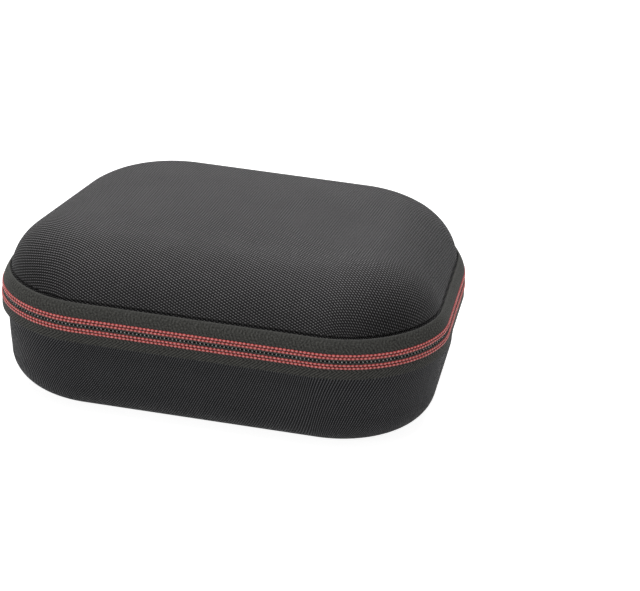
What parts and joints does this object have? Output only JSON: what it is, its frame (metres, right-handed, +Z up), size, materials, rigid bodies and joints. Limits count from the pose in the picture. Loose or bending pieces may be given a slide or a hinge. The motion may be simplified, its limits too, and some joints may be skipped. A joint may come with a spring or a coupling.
{
  "type": "carrying case",
  "caption": "Hard zip-round carrying case: two domed fabric-covered shells joined by a coil zipper and a fabric hinge, with a net pocket in the lid.",
  "frame": {"origin": "centre of the case on the surface that it stands on", "axes": "+X along the long side, +Z up through the lid; the front faces -Y and the hinge is on +Y"},
  "size_m": [0.1918, 0.1459, 0.0746],
  "materials": {
    "shell_cloth": "coarse black woven cover, laminated to foam",
    "zipper_tape": "dark warm grey herringbone weave",
    "coil_nylon": "grey nylon monofilament",
    "red_thread": "red sewing thread",
    "edge_binding": "black woven binding",
    "pocket_net": "black knitted net",
    "pocket_elastic": "black ribbed elastic",
    "slider_metal": "dark plated die casting"
  },
  "bodies": {
    "base": {"base_shell": "shell_cloth", "base_rim_binding": "edge_binding", "base_zipper_tape": "zipper_tape", "base_zipper_coil": "coil_nylon", "base_stitches_inner": "red_thread", "base_stitches_outer": "red_thread", "hinge_strip": "zipper_tape"},
    "lid": {"lid_shell": "shell_cloth", "lid_rim_binding": "edge_binding", "lid_zipper_tape": "zipper_tape", "lid_zipper_coil": "coil_nylon", "lid_tape_end_left": "zipper_tape", "lid_tape_end_right": "zipper_tape", "lid_coil_end_left": "coil_nylon", "lid_coil_end_right": "coil_nylon", "lid_stitches_inner": "red_thread", "lid_stitches_outer": "red_thread", "pocket_net": "pocket_net", "pocket_elastic": "pocket_elastic"},
    "slider_left": {"slider_left": "slider_metal"},
    "slider_right": {"slider_right": "slider_metal"},
    "pull_left": {"pull_left": "slider_metal"},
    "pull_right": {"pull_right": "slider_metal"}
  },
  "joints": [
    {"name": "lid_hinge", "type": "hinge", "parent": "base", "child": "lid", "pos_m": [0, 0.07255, 0.0423], "axis": [-1, 0, 0], "range_deg": [0, 180], "deforming": ["hinge_strip", "lid_tape_end_left", "lid_tape_end_right", "lid_coil_end_left", "lid_coil_end_right"]},
    {"name": "slider_right_run", "type": "hinge", "parent": "base", "child": "slider_right", "pos_m": [0.0379, 0.0215, 0.0423], "axis": [0, 0, -1], "range_deg": [0, 45]},
    {"name": "slider_left_run", "type": "hinge", "parent": "base", "child": "slider_left", "pos_m": [-0.0379, 0.0215, 0.0423], "axis": [0, 0, 1], "range_deg": [0, 45]},
    {"name": "pull_right_swing", "type": "hinge", "parent": "slider_right", "child": "pull_right", "pos_m": [0.06748, 0.06572, 0.0423], "axis": [-0.556, -0.8312, 0], "range_deg": [-50, 90]},
    {"name": "pull_left_swing", "type": "hinge", "parent": "slider_left", "child": "pull_left", "pos_m": [-0.06748, 0.06572, 0.0423], "axis": [-0.556, 0.8312, 0], "range_deg": [-50, 90]}
  ]
}
